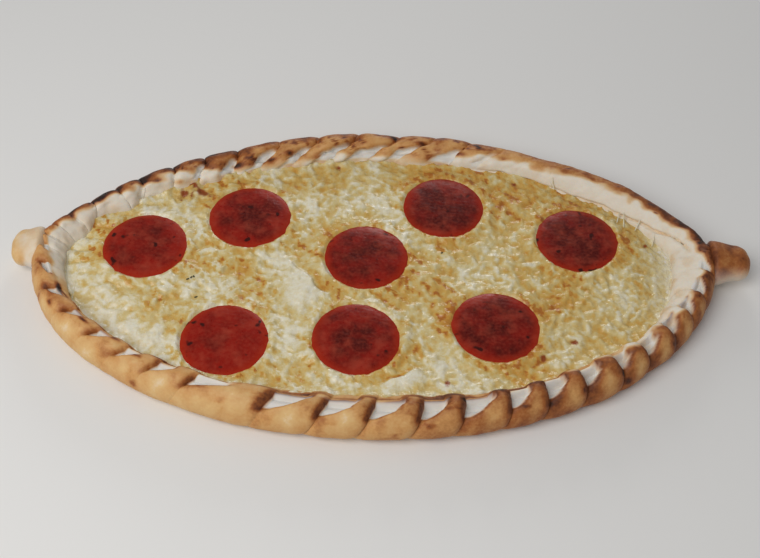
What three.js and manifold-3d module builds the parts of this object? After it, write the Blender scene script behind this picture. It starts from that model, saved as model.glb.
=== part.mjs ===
// Turkish pide: a boat of baked bread dough whose rim is crimped like a rope and pinched into a knob at each
// end, holding a layer of melted cheese with round sausage slices lying on it.
// Millimetres, +Z up, +X along the boat, -Y at its fuller side. The origin is under the middle of the
// bounding box, on the surface that the pide rests on.

import * as THREE from 'three';
import { mergeVertices } from 'three/addons/utils/BufferGeometryUtils.js';
import Module from 'manifold-3d';

const { lerp, smoothstep, degToRad, radToDeg, euclideanModulo } = THREE.MathUtils;
const wasm = await Module();
wasm.setup();

// Driving dimensions
const LENGTH = 370; // from knob tip to knob tip
const WIDTH = 192; // over the fullest part of the rim
const FRONT_SPREAD = 106.75; // from the line through the knobs to the front edge
const LEFT_REACH = 174.5; // from the middle to the boat's left end, without its knob
const RIGHT_REACH = 168.5;
const RIM_HEIGHT = 18;
const RIM_WIDTH = 19; // at the waist
const END_RIM_WIDTH = 13; // where the rim passes the knobs
const BED_HEIGHT = 5; // thickness of the dough under the cheese
const CHEESE_LEVEL = 9.2; // middle height of the cheese's top
const SLICE_DIAMETER = 43;
const SLICE_THICKNESS = 2;
const GAP = 0.35; // kept between pieces that touch

// Outline in plan, about the waist point. Each quarter is |x / reach|^2 + |y / spread|^roundness = 1, so the
// left front is blunt, the back is pointed and the front is fuller than the back.
const BACK_SPREAD = WIDTH - FRONT_SPREAD;
const WAIST_Y = (FRONT_SPREAD - BACK_SPREAD) / 2;
const ROUNDNESS = { backRight: 1.52, backLeft: 1.34, frontLeft: 2.02, frontRight: 1.78 };

// Crimps: folds of the rim, counted round the boat from the right knob along the back
const FOLD_PLACES = [ // a fold and its place in degrees round the boat, evenly spaced in between
  [0, 0], [26, 187], [29, 214], [32, 237.3],
  [33, 251.2], // the longest fold
  [36, 275.5], [45, 340.9], [47, 360],
];
const CRIMPS = FOLD_PLACES.at(-1)[0];
const CRIMP_LEAN = 0.6; // folds that a crease runs along from the outer side of the rim to the inner side
const CRIMP_DEPTH = 0.42; // deepest crease, as a share of the rim's section
const CREASE_STEPS = [0, 0.2, 0.42, 0.68, 0.92]; // columns of the mesh across one fold
const STRETCHES = [ // degrees round the boat, with the depth of the crimps there
  { from: 4, to: 72, depth: 0 }, // rolled smooth
  { from: 136, to: 180, depth: 0.4 }, // soft
  { from: 196, to: 240, depth: 0.55 },
];
const STRETCH_FADE = 10;

// Rim section: an egg shape about a core point, squashed on the table
const CORE_HEIGHT = 7;
const FOOT_SQUASH = 0.6;
const SECTION_ANGLES = [-90, -52, -22, 6, 32, 54, 73, 90, 107, 125, 143, 161, 180]; // 0 is outwards, 90 is up

// Floor of the boat, inside the rim. Bare dough shows between the cheese and each knob.
const FLOOR_INSET = { sides: RIM_WIDTH + 0.6, left: 21.5, right: 24 };

// Cheese
const CHEESE_COLUMNS = 56;
const CHEESE_ROWS = 20;
const CHEESE_EDGE = 2.2; // thickness at its edge
const LUMP_HEIGHT = 0.9;
const SEAT_RADIUS = 26; // flat place under a slice
const SEAT_FADE = 34;
const FOLDED_CHEESE = [ // places where the cheese has folded up
  { x: -36, y: -19, height: 2.4, across: 9, along: 14 },
  { x: 14, y: -68, height: 2.2, across: 7, along: 14 },
];

// Sausage slices
const SLICE_CENTRES = [
  [-119, 13.4], [-68.5, 34.6], [-8.2, 8.8], [32, 44.3],
  [99.6, 22.9], [-74, -45.1], [-11.8, -42.9], [54.8, -34.4],
];
const SLICE_CURL = 0.7; // how far a slice's edge curls up
const SLICE_SIDES = 24;

// Knobs: place of each one's thick neck, its thickness there and near its tip, and how far forward it lies
const KNOBS = [
  { side: -1, neck: 171, thick: 19, tip: 16, forward: 0.8 },
  { side: 1, neck: 167, thick: 20, tip: 15.5, forward: 1.5 },
];
const KNOB_SPREAD = 1.12; // width of a knob over its height
const KNOB_CLEARANCE = 0.4; // between its neck and the table
const KNOB_BLUNTNESS = 0.42; // length of its rounded tip over the thickness there
const KNOB_SIDES = 20;

// The point at angle theta of the outline whose reach and spread are cut back by these insets.
function outline(theta, inset = { sides: 0, left: 0, right: 0 }) {
  const right = Math.cos(theta) >= 0;
  const back = Math.sin(theta) >= 0;
  const roundness = ROUNDNESS[(back ? 'back' : 'front') + (right ? 'Right' : 'Left')];
  const reach = right ? RIGHT_REACH - inset.right : LEFT_REACH - inset.left;
  const spread = (back ? BACK_SPREAD : FRONT_SPREAD) - inset.sides;
  const across = Math.abs(Math.sin(theta)) ** (2 / roundness);
  return new THREE.Vector2(reach * Math.cos(theta), WAIST_Y + (back ? spread : -spread) * across);
}

// Angle round the boat of a place counted in folds.
function foldAngle(fold) {
  const next = FOLD_PLACES.findIndex(([start]) => start > fold);
  const [[before, low], [after, high]] = FOLD_PLACES.slice(next - 1, next + 1);
  return degToRad(lerp(low, high, (fold - before) / (after - before)));
}

// Depth of the crimps at angle theta: 1 in full, less on the stretches that are soft or smooth.
function crimpDepth(theta) {
  const degrees = euclideanModulo(radToDeg(theta), 360);
  return STRETCHES.reduce((depth, { from, to, depth: there }) => {
    const start = smoothstep(degrees, from - STRETCH_FADE, from);
    const end = smoothstep(degrees, to, to + STRETCH_FADE);
    return depth * lerp(1, there, start * (1 - end));
  }, CRIMP_DEPTH);
}

// Share of the section that a crease takes away. Across a fold it falls steeply and then rises to the next
// crest. It is a narrow groove on the outer side, opens to a wide pocket on top, and is lost at the foot.
function creaseShare(theta, across, sectionAngle) {
  const narrowness = lerp(4, 1.1, smoothstep(sectionAngle, 20, 110));
  const height = smoothstep(sectionAngle, -20, 100) * (1 - 0.6 * smoothstep(sectionAngle, 130, 180));
  return crimpDepth(theta) * height * (1 - across) ** narrowness;
}

// Outward and upward reach of the uncreased section from its core, at an angle round the section.
function sectionReach(sectionAngle, halfWidth) {
  const angle = degToRad(sectionAngle);
  const [sine, cosine] = [Math.sin(angle), Math.cos(angle)];
  if (sectionAngle < 0) return [halfWidth * cosine ** FOOT_SQUASH, CORE_HEIGHT * sine];
  if (sectionAngle <= 90) return [halfWidth * cosine, (RIM_HEIGHT - CORE_HEIGHT) * sine];
  return [halfWidth * cosine, BED_HEIGHT - CORE_HEIGHT + (RIM_HEIGHT - BED_HEIGHT) * sine];
}

// A point of the rim: theta places its section along the boat, across is its place in a fold.
function rimPoint(theta, across, sectionAngle) {
  const outer = outline(theta);
  const inwards = outline(theta, FLOOR_INSET).sub(outer).normalize();
  const halfWidth = lerp(RIM_WIDTH, END_RIM_WIDTH, Math.cos(theta) ** 8) / 2;
  const [out, up] = sectionReach(sectionAngle, halfWidth);
  const kept = 1 - creaseShare(theta, across, sectionAngle);
  const place = outer.addScaledVector(inwards, halfWidth - out * kept);
  return new THREE.Vector3(place.x, place.y, CORE_HEIGHT + up * kept);
}

function floorPoint(theta) {
  const edge = outline(theta, FLOOR_INSET);
  return new THREE.Vector3(edge.x, edge.y, BED_HEIGHT);
}

// A closed surface with its doubled points merged and its collapsed triangles dropped.
function closed(geometry) {
  geometry.deleteAttribute('normal');
  geometry.deleteAttribute('uv');
  const merged = mergeVertices(geometry, 1e-4);
  const corners = Array.from(merged.index.array);
  const kept = [];
  for (let i = 0; i < corners.length; i += 3) {
    const triangle = corners.slice(i, i + 3);
    if (new Set(triangle).size === 3) kept.push(...triangle);
  }
  return merged.setIndex(kept);
}

function surface(points, triangles) {
  return closed(new THREE.BufferGeometry().setFromPoints(points).setIndex(triangles));
}

// A closed skin over rings of equal size that run from the middle of the underside, outwards, up and back in.
function skinOverRings(underside, rings, topMiddle) {
  const columns = rings[0].length;
  const points = [underside, ...rings.flat(), topMiddle];
  const at = (ring, column) => 1 + ring * columns + (column % columns);
  const last = rings.length - 1;
  const triangles = [];
  for (let i = 0; i < columns; i++) {
    triangles.push(0, at(0, i + 1), at(0, i));
    for (let j = 0; j < last; j++) {
      triangles.push(at(j, i), at(j, i + 1), at(j + 1, i + 1));
      triangles.push(at(j, i), at(j + 1, i + 1), at(j + 1, i));
    }
    triangles.push(at(last, i), at(last, i + 1), points.length - 1);
  }
  return surface(points, triangles);
}

function solidOf(geometry) {
  const vertProperties = geometry.attributes.position.array;
  const triVerts = new Uint32Array(geometry.index.array);
  return new wasm.Manifold(new wasm.Mesh({ numProp: 3, vertProperties, triVerts }));
}

function geometryOf(solid) {
  const mesh = solid.getMesh();
  const geometry = new THREE.BufferGeometry();
  geometry.setAttribute('position', new THREE.BufferAttribute(mesh.vertProperties, mesh.numProp));
  return geometry.setIndex(new THREE.BufferAttribute(mesh.triVerts, 1));
}

// The boat without its knobs. The mesh's columns lean along with the creases.
function boat() {
  const ring = (sectionAngle, pointAt) => {
    const points = [];
    for (let crimp = 0; crimp < CRIMPS; crimp++) {
      for (const across of CREASE_STEPS) {
        const theta = foldAngle(crimp + across) + CRIMP_LEAN * sectionAngle / 180 * 2 * Math.PI / CRIMPS;
        points.push(pointAt(theta, across, sectionAngle));
      }
    }
    return points;
  };
  const rings = SECTION_ANGLES.map((angle) => ring(angle, rimPoint));
  rings.push(ring(SECTION_ANGLES.at(-1), floorPoint));
  return skinOverRings(new THREE.Vector3(), rings, new THREE.Vector3(0, 0, BED_HEIGHT));
}

// A pinched end of the dough: a stub with a blunt tip, whose thick neck is rounded off inside the boat's end.
function knob({ side, neck, thick, tip, forward }) {
  const length = LENGTH / 2 - neck;
  const blunt = tip * KNOB_BLUNTNESS;
  const profile = [new THREE.Vector2(0, -thick / 2)];
  for (const angle of [-60, -30, 0].map(degToRad)) {
    profile.push(new THREE.Vector2(Math.cos(angle), Math.sin(angle)).multiplyScalar(thick / 2));
  }
  for (const angle of [0, 25, 50, 72].map(degToRad)) {
    profile.push(new THREE.Vector2(tip / 2 * Math.cos(angle) ** 0.8, length - blunt * (1 - Math.sin(angle))));
  }
  profile.push(new THREE.Vector2(0, length));
  const stub = new THREE.LatheGeometry(profile, KNOB_SIDES);
  stub.rotateZ(-side * Math.PI / 2).scale(1, KNOB_SPREAD, 1);
  return closed(stub.translate(side * neck, WAIST_Y - forward, thick / 2 + KNOB_CLEARANCE));
}

function crust() {
  const dough = KNOBS.reduce((joined, shape) => joined.add(solidOf(knob(shape))), solidOf(boat()));
  return geometryOf(dough);
}

// Height of the cheese's top: rolling lumps, folds, and a flat seat under each slice.
function cheeseTop(x, y) {
  const lumps = Math.sin(x / 9.1 + 0.6 * Math.sin(y / 13)) * Math.cos(y / 7.3 + 0.8 * Math.sin(x / 17));
  const rolls = Math.sin(x / 23 + y / 31);
  let height = CHEESE_LEVEL + LUMP_HEIGHT * (0.6 * lumps + 0.4 * rolls);
  for (const fold of FOLDED_CHEESE) {
    const far = ((x - fold.x) / fold.along) ** 2 + ((y - fold.y) / fold.across) ** 2;
    height += fold.height * Math.exp(-far);
  }
  for (const [seatX, seatY] of SLICE_CENTRES) {
    const seat = 1 - smoothstep(Math.hypot(x - seatX, y - seatY), SEAT_RADIUS, SEAT_FADE);
    height = lerp(height, CHEESE_LEVEL, seat);
  }
  return height;
}

// One column of the cheese, from its front foot over the top to its back foot. It thins towards the rim.
function cheeseColumn(theta, under) {
  const front = outline(-theta, FLOOR_INSET);
  const back = outline(theta, FLOOR_INSET);
  const points = [new THREE.Vector3(front.x, front.y, under)];
  for (let j = 0; j <= CHEESE_ROWS; j++) {
    const across = j / CHEESE_ROWS;
    const y = lerp(front.y, back.y, across);
    const rimward = Math.max(Math.abs(2 * across - 1), Math.abs(Math.cos(theta))) ** 8;
    points.push(new THREE.Vector3(front.x, y, lerp(cheeseTop(front.x, y), under + CHEESE_EDGE, rimward)));
  }
  points.push(new THREE.Vector3(back.x, back.y, under));
  return points;
}

// The cheese: columns from left to right, joined into one closed skin.
function cheese() {
  const columns = [];
  for (let i = 0; i <= CHEESE_COLUMNS; i++) {
    columns.push(cheeseColumn(Math.PI * (1 - i / CHEESE_COLUMNS), BED_HEIGHT + GAP));
  }
  const rows = columns[0].length;
  const at = (i, j) => i * rows + (j % rows);
  const triangles = [];
  for (let j = 0; j < rows; j++) {
    for (let i = 0; i < CHEESE_COLUMNS; i++) {
      triangles.push(at(i, j), at(i + 1, j), at(i + 1, j + 1));
      triangles.push(at(i, j), at(i + 1, j + 1), at(i, j + 1));
    }
    triangles.push(at(0, 0), at(0, j), at(0, j + 1));
    triangles.push(at(CHEESE_COLUMNS, 0), at(CHEESE_COLUMNS, j + 1), at(CHEESE_COLUMNS, j));
  }
  return surface(columns.flat(), triangles);
}

// A sausage slice: a round disc with a rounded edge that curls up a little.
function slice() {
  const radius = SLICE_DIAMETER / 2;
  const profile = [
    [0, 0],
    [0.6 * radius, 0.1],
    [0.93 * radius, SLICE_CURL],
    [radius, SLICE_CURL + SLICE_THICKNESS / 2],
    [0.95 * radius, SLICE_CURL + SLICE_THICKNESS],
    [0.6 * radius, SLICE_THICKNESS + 0.1],
    [0, SLICE_THICKNESS],
  ].map(([r, z]) => new THREE.Vector2(r, z));
  return new THREE.LatheGeometry(profile, SLICE_SIDES).rotateX(Math.PI / 2);
}

function piece(name, geometry, color, roughness) {
  const mesh = new THREE.Mesh(geometry, new THREE.MeshStandardMaterial({ color, roughness, metalness: 0 }));
  mesh.name = name;
  return mesh;
}

const pide = new THREE.Group();
pide.add(piece('crust', crust(), '#d9a765', 0.75));
pide.add(piece('cheese', cheese(), '#e4cf92', 0.45));
SLICE_CENTRES.forEach(([x, y], i) => {
  const disc = piece(`slice_${i + 1}`, slice(), '#8e2a20', 0.5);
  disc.position.set(x, y, CHEESE_LEVEL + GAP);
  pide.add(disc);
});

export default pide;
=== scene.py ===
import math

import bpy
import numpy as np
from bpy.props import FloatProperty, FloatVectorProperty, IntProperty, PointerProperty
from mathutils import Matrix, Vector


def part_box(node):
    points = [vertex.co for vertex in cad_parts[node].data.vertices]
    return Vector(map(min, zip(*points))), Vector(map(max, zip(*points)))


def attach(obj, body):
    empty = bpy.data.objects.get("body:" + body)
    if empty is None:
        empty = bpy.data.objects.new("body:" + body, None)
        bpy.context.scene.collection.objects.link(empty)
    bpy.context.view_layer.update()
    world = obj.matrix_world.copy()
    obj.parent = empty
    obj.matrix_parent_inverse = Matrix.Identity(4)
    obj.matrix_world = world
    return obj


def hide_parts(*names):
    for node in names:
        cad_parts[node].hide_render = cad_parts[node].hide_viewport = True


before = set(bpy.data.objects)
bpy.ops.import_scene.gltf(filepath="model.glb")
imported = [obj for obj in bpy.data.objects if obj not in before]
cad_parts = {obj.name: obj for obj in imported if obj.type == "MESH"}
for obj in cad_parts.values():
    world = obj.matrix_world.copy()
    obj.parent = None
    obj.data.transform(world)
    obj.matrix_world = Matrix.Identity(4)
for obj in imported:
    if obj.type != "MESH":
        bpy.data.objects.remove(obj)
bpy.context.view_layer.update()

bl_info = {
    "name": "Turkish pide",
    "version": (1, 0, 0),
    "blender": (4, 5, 0),
    "location": "View3D > Sidebar > Pide",
    "description": "Bakes a pide round its solids: crimped crust, melted cheese and sausage slices",
    "category": "Add Mesh",
}

MM = 0.001  # every shape below is worked out in millimetres
BODY = "root"
SLICES = sorted(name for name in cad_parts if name.startswith("slice_"))

# Plan of the boat, as in the solids: reach and spread of its quarters about the waist line
LENGTH = np.ptp([corner[0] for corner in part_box("crust")]) / MM
FRONT_SPREAD = 106.75
BACK_SPREAD = 85.25
WAIST_Y = (FRONT_SPREAD - BACK_SPREAD) / 2
LEFT_REACH = 174.5
RIGHT_REACH = 168.5
ROUNDNESS = {"back_right": 1.52, "back_left": 1.34, "front_left": 2.02, "front_right": 1.78}
FLOOR_INSET = {"sides": 19.6, "left": 21.5, "right": 24.0}

# Section of the rim
END_RIM_WIDTH = 13.0
CORE_HEIGHT = 7.0
BED_HEIGHT = 5.0
FOOT_SQUASH = 0.6
HALF_CIRCLE_MEAN = 0.785  # mean height of a half circle of height 1
CRACK_WIDTH = 2.6  # degrees of the section
CRACK_DEPTH = 0.3  # share of the section

# Folds of the rim, counted round the boat from the right knob along the back: a fold and its degrees
FOLD_PLACES = (
    (0, 0), (26, 187), (29, 214), (32, 237.3), (33, 251.2), (36, 275.5), (45, 340.9), (47, 360),
)
FOLDS = FOLD_PLACES[-1][0]
COLUMNS_PER_FOLD = 21
COLUMN_PULL = 0.1  # crowds the columns towards the creases

# How the rim changes round its section: degrees from outwards, over the top, and a value
CREASE_LEAN = (  # folds that a crease is shifted by
    (-90, -0.3), (0, -0.03), (45, 0.13), (90, 0.24), (180, 0.33),
)
CREASE_SHARE = (  # share of a crease's full depth
    (-90, 0.0), (-45, 0.2), (0, 0.4), (40, 0.6), (70, 1.0),
)

# How the rim changes on the way round: degrees from the right knob, along the back first, and a value
CREASE_DEPTH = (  # share of the section that a crease takes away
    (0, 0.12), (6, 0.04), (20, 0.0), (60, 0.03), (74, 0.2), (86, 0.34), (118, 0.32), (130, 0.14),
    (140, 0.09), (165, 0.08), (178, 0.14), (190, 0.3), (215, 0.38), (240, 0.42), (252, 0.48),
    (300, 0.52), (330, 0.45), (345, 0.3),
)
OUTER_CREASES = (  # share of that depth on the outer side
    (0, 0.3), (76, 0.35), (124, 0.35), (136, 0.5), (170, 0.4), (185, 0.15), (240, 0.2), (256, 0.8),
    (280, 1.0), (345, 1.0),
)
POCKET_WIDTH = (  # share of a fold that its pocket takes up
    (0, 0.3), (70, 0.3), (85, 0.52), (118, 0.5), (134, 0.3), (170, 0.25), (195, 0.5), (215, 0.46),
    (228, 0.36), (240, 0.42), (254, 0.53), (288, 0.51), (298, 0.43), (330, 0.38), (350, 0.44),
)
POCKET_FROM = (  # angle of the section where the pockets open
    (0, 80), (70, 84), (80, 94), (122, 92), (135, 80), (170, 80), (195, 70), (240, 60), (260, 52),
    (310, 40), (345, 45),
)
LIP_SECTION = (  # angle of the section where a lip closes the pockets
    (0, 120), (20, 150), (62, 160), (78, 146), (120, 144), (134, 128), (165, 112), (186, 116),
    (200, 120), (247, 120), (257, 130), (276, 131), (290, 121), (335, 120), (350, 118),
)
INNER_LEAN = (  # folds that a crease is shifted by on the inner face, besides
    (0, 0.3), (70, 0.4), (80, 0.8), (125, 0.8), (140, 0.4), (160, 0.3), (190, 0.05), (345, 0.05),
)
CRINKLES = (  # small wrinkles of the inner face
    (0, 2.0), (18, 1.5), (30, 0.4), (66, 0.6), (80, 2.6), (122, 2.6), (132, 2.8), (165, 2.4),
    (188, 1.5), (200, 0.0), (318, 0.0), (338, 2.0),
)
STAINS = (  # brown stains on the inner face
    (0, 0.45), (20, 0.45), (30, 0.1), (64, 0.1), (78, 1.2), (122, 1.2), (134, 0.35), (160, 0.3),
    (176, 0.3), (296, 0.0), (316, 1.0),
)
CRACK = (  # crack along the inner side of the smooth roll, painted a little darker as shade in its groove
    (0, 0.0), (3, 0.0), (9, 1.0), (66, 1.0), (72, 0.0),
)
CRACK_AT = (  # angle of the section where the crack lies
    (0, 128), (10, 132), (20, 148), (30, 157), (70, 160),
)
UNEVEN_FOLDS = (  # how far the folds differ from each other
    (0, 0.06), (70, 0.1), (82, 0.17), (124, 0.17), (140, 0.1), (190, 0.05), (300, 0.05), (320, 0.1),
)
SOFT_ROLLS = (  # low rounded rolls between the creases
    (0, 0.0), (70, 0.0), (84, 0.35), (118, 0.4), (134, 1.0), (168, 1.0), (184, 0.4), (200, 0.0),
)
TOAST = (  # baking of the skin
    (0, 0.74), (20, 0.72), (45, 0.66), (62, 0.52), (80, 0.5), (105, 0.54), (125, 0.66), (142, 0.68),
    (160, 0.62), (172, 0.46), (182, 0.44), (195, 0.44), (215, 0.41), (238, 0.41), (255, 0.44),
    (268, 0.49), (280, 0.66), (305, 0.75), (320, 0.75), (345, 0.73),
)
TOAST_END = (  # angle of the section where the baked skin ends on the inner face
    (0, 104), (12, 113), (28, 106), (46, 115), (58, 109), (70, 116), (80, 142), (120, 142), (130, 112),
    (140, 104), (165, 98), (180, 116), (200, 128), (245, 138), (298, 138), (308, 112), (320, 102),
    (345, 98),
)
WALL_TOAST_AND_SHADE = (  # browning of the steep side of each lobe, with painted shade on that side, which turns away from the light
    (0, 0.05), (80, 0.0), (175, 0.0), (190, 0.1), (235, 0.22), (252, 0.42), (300, 0.44), (345, 0.36),
)
CREST_CHAR = (  # darker baking along the crest
    (0, 0.08), (10, 0.14), (30, 0.1), (55, 0.03), (80, 0.2), (100, 0.22), (118, 0.25), (132, 0.3),
    (160, 0.3), (172, 0.1), (185, 0.04), (200, 0.12), (245, 0.1), (262, 0.02), (330, 0.02), (345, 0.05),
)
BLISTERS = (  # blistered skin
    (0, 0.2), (62, 0.3), (76, 1.0), (124, 1.0), (136, 0.35), (170, 0.3), (190, 0.25), (345, 0.35),
)
INNER_FOOT = (  # spread of the inner wall at its foot, or undercut below 0
    (0, 1.2), (14, 0.9), (24, 0.6), (34, 0.35), (48, 0.0), (58, -0.2), (68, -0.1), (78, 0.0),
    (160, 0.0), (176, 0.6), (190, 0.4), (206, -0.3), (247, -0.3), (257, 0.35), (276, 0.45), (284, 0.15),
    (292, -0.2), (325, -0.3), (338, 0.3), (350, 1.0),
)
SPOTS = (  # browned spots: degrees round the boat and round the section, half sizes in both, strength
    (26.3, 109, 0.7, 4, 0.7), (37.5, 108, 1.2, 6, 0.4), (74, 122, 0.9, 6, 0.45),
    (82.3, 99, 1.2, 6, 0.4), (86.2, 119, 0.8, 5, 0.5), (108.5, 119, 0.8, 6, 0.45),
    (112.3, 128, 0.7, 6, 0.5), (119.2, 126, 1.0, 7, 0.45), (132.5, 135, 0.8, 8, 0.5),
    (137, 112, 1.2, 7, 0.35), (199, 117, 1.6, 9, 0.6), (202.7, 55, 1.1, 9, 0.4),
    (212, 97, 1.8, 6, 0.55), (220.6, 108, 1.1, 7, 0.5), (226.8, 93, 1.3, 7, 0.5),
)

# Where the baking and the painted highlight change, in degrees round the boat
FRONT_RIM = (188, 200, 340, 352)  # fades in, and out again
STRONGER_LOBE_HIGHLIGHTS = (284, 304)
DUSTY_POCKETS = (300, 322)
BROWN_LIP_END = (312, 326)

# Knobs: place of the neck, thickness there and near the tip, how far forward each one lies, and its baking
KNOBS = {
    "left_knob": {"side": -1, "neck": 171.0, "thick": 19.0, "tip": 16.0, "forward": 0.8, "toast": 0.24},
    "right_knob": {"side": 1, "neck": 167.0, "thick": 20.0, "tip": 15.5, "forward": 1.5, "toast": 0.6},
}
KNOB_SPREAD = 1.25  # width over height
KNOB_CLEARANCE = 0.4
KNOB_LOWEST = 0.3
KNOB_ROOT = 4.0  # depth of the rounded root inside the rim
KNOB_BLUNTNESS = 0.42
KNOB_RINGS = {"root": 16, "body": 14, "end": 22}
KNOB_SIDES = 72

# Cheese
CHEESE_LEVEL = 9.2
CHEESE_UNDER = 5.35
CHEESE_RIM = (  # height where it meets the rim, by degrees round the boat
    (0, 4.6), (12, 5.2), (28, 8.4), (60, 9.2), (85, 9.6), (108, 10.4), (124, 12.0), (150, 12.6),
    (163, 12.0), (171, 10.6), (178, 8.6), (184, 8.6), (190, 9.6), (198, 10.3), (225, 10.7), (255, 11.3),
    (300, 11.4), (325, 11.2), (338, 9.4), (346, 6.6), (353, 4.8),
)
CHEESE_LAP = (  # reach of its edge into the rim
    (0, 1.0), (24, 0.6), (40, 1.2), (66, 1.2), (74, 1.0),
)
CHEESE_ENDS = {"left": (-130.0, -158.5), "right": (141.0, 148.5)}  # drawn in from, and its tip
CHEESE_TIPS = {"left": 7.6, "right": 4.8}  # height to which the cheese thins out at its ends
CHEESE_GRID = (441, 213)  # rings along the boat, points across its top
BOUNDARY_STEPS = 1440
LUMP_HEIGHT = 0.9
CURDLED_LEFT = (92, 132)  # distance to the left over which the cheese turns lumpy
SEAT = (26.0, 34.0)  # the flat seat of a slice ends between these distances from its middle
HALO = {"radius": 23.0, "width": 5.0}  # browned ring round each slice
SWELLING = {"height": 1.3, "out": 1.0, "width": 4.0}  # raised ring, out from the slice's edge
FOLDED_CHEESE = (  # places where the cheese has folded up: middle, height and half widths
    {"x": -36.0, "y": -19.0, "height": 2.4, "across": 9.0, "along": 14.0},
    {"x": 14.0, "y": -68.0, "height": 2.2, "across": 7.0, "along": 14.0},
)
FLAPS = (  # films that have lifted: middle, half sizes, heading of the free edge, and how high it stands
    {"x": -41.0, "y": -17.0, "along": 13.0, "across": 11.0, "heading": -50.0, "lift": 2.4},
    {"x": 11.0, "y": -69.0, "along": 11.0, "across": 5.0, "heading": 29.0, "lift": 2.0},
)
SCORCHES = (  # burnt blisters: middle and size
    (-104.1, 49.8, 2.6), (-94.8, 51.5, 3.4), (-100.7, 56.6, 2.2), (135.4, 22.5, 1.4),
    (91.8, -42.0, 1.6), (76.1, -52.3, 2.0), (70.5, 63.2, 1.3), (31.0, -67.1, 1.4), (-53.7, 75.5, 1.6),
    (-23.4, 72.5, 1.3),
)
GOLDEN = (  # browned places: middle and size
    (-110, -22, 8), (-96, 3, 9), (-74, 0, 12), (-57, -13, 9), (-22, -17, 9), (25, -8, 12), (17, 4, 9),
    (31, 15, 6), (63, 46, 9), (97, -3, 9), (82, -20, 9), (32, -30, 9), (52, 72, 12), (31, 71, 9),
    (100, 47, 9), (58, -56, 9), (70, -48, 8), (-41, -64, 8), (-147, 10, 7), (-143, 27, 8),
    (-82, 58, 10), (-41, 16, 8), (7, -18, 8), (12, 57, 7), (132, 21, 8), (14, -51, 8),
)
PALE = (  # milky places: middle and size
    (-134, -33, 14), (-109, -43, 11), (-125, -14, 8), (-54, 6, 7), (-45, -38, 8), (-32, 45, 11),
    (-6, 46, 8), (57, 7, 11), (44, -1, 8), (112, -16, 13), (130, 4, 11), (100, -31, 9), (9, 29, 8),
    (141, 14, 9), (-60, 70, 8),
)
FIELD_LOW = np.array([-172.0, -106.0])  # corner of the map on which shreds are laid
FIELD_SIZE = (862, 532)
FIELD_STEP = 0.4
SHRED_GRID = (27, 9)  # points along and across a shred
HEIGHT_STEPS = 1000  # steps of height in a millimetre of shreds
HERBS = (  # flecks of dried herb: place and turn
    (-95.2, -8.6, 0.4), (-93.6, -7.4, 1.2), (-92.4, -6.9, 2.0), (-90.1, -19.1, 0.2), (30.4, 12.2, 0.9),
)
HERB_SIZE = {"half": 0.9, "width": 0.9, "height": 0.35, "raised": 0.15}
THREADS = (  # drawn cheese: upper end on the rim, lower end on the cheese
    ((123.9, 42.0, 11.4), (121.7, 35.0, 10.6)), ((125.9, 40.8, 12.6), (125.1, 32.3, 10.0)),
    ((133.6, 35.7, 12.9), (130.6, 30.6, 9.4)), ((140.0, 26.8, 11.0), (138.8, 22.2, 6.8)),
    ((88.9, 65.1, 17.1), (90.0, 60.2, 10.2)), ((90.2, 62.7, 15.8), (91.4, 58.6, 9.8)),
)
THREAD_WIDTH = 0.65
THREAD_SAG = 0.3
THREAD_BROWN = 0.08
STRAND_SIDES = 8

# Sausage slices
SLICE_PAINTED_LIGHT = {  # painted light and shade on each slice: lighter than the others where more light falls, darker below 0 where less falls
    "slice_1": 0.15, "slice_2": 0.1, "slice_4": -0.2, "slice_5": -0.25, "slice_6": 0.5, "slice_8": -0.1,
}
SLICE_SINK = 0.25  # into the cheese
SLICE_SIDES = 120
SLICE_EDGE = (  # blunt edge from below: share of the radius, height as a share of the thickness
    (0.0, 0.0), (0.5, 0.0), (0.9, 0.0), (0.965, 0.08), (0.99, 0.25), (1.0, 0.5), (0.992, 0.75),
    (0.972, 0.92), (0.945, 1.0),
)

# Stage, in metres
FLOOR_REACH = 4.0  # from its middle to each side
LAMPS = {  # place and size of each soft lamp
    "key": ((-0.42, -0.4, 0.72), 0.7),
    "back": ((0.1, 1.25, 0.42), 0.45),
}
AIM = Vector((-0.56, 2.8, 0.0)) * MM  # what the camera looks at


def linear(code):
    """An sRGB hex colour as linear red, green, blue and alpha."""
    srgb = np.array([int(code[i:i + 2], 16) for i in (1, 3, 5)]) / 255
    channels = np.where(srgb <= 0.04045, srgb / 12.92, ((srgb + 0.055) / 1.055) ** 2.4)
    return (*channels.tolist(), 1.0)


def colour(name, description, code):
    """A colour setting whose default is an sRGB hex colour."""
    return FloatVectorProperty(
        name=name, description=description, default=linear(code), size=4, min=0.0, max=1.0, subtype="COLOR"
    )


def length(name, description, millimetres):
    """A length setting whose default is given in millimetres."""
    return FloatProperty(
        name=name, description=description, default=millimetres * MM, min=0.0, unit="LENGTH", precision=5
    )


def rotation(name, description, degrees):
    """An angle setting whose default is given in degrees."""
    return FloatProperty(name=name, description=description, default=math.radians(degrees), unit="ROTATION")


class CrustSettings(bpy.types.PropertyGroup):
    """Sizes and colours of the bread."""

    rim_height: length("Rim height", "From the table to the top of the rim", 18.0)
    rim_width: length("Rim width", "Across the rim at the waist of the boat", 19.0)
    wrinkle: length("Wrinkles", "Height of the small unevenness of the dough", 0.35)
    seed: IntProperty(name="Seed", description="Picks the unevenness of the folds", default=7)
    # Flour is the hardly baked dough's own colour, greyed a little as painted shade of the deep pockets.
    flour: colour("Flour", "Floured dough in the creases, hardly baked", "#dedad3")
    dough: colour("Dough", "Pale baked dough on the inner faces", "#f2e8d5")
    gold: colour("Pale gold", "Lightly baked crust", "#e0b87c")
    tan: colour("Golden tan", "Crust baked through", "#d19a5c")
    brown: colour("Brown", "Well baked crests", "#a35f2b")
    dark: colour("Dark brown", "Edges of the folds", "#6a3517")
    char: colour("Char", "Scorched spots", "#2e1c13")


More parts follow.
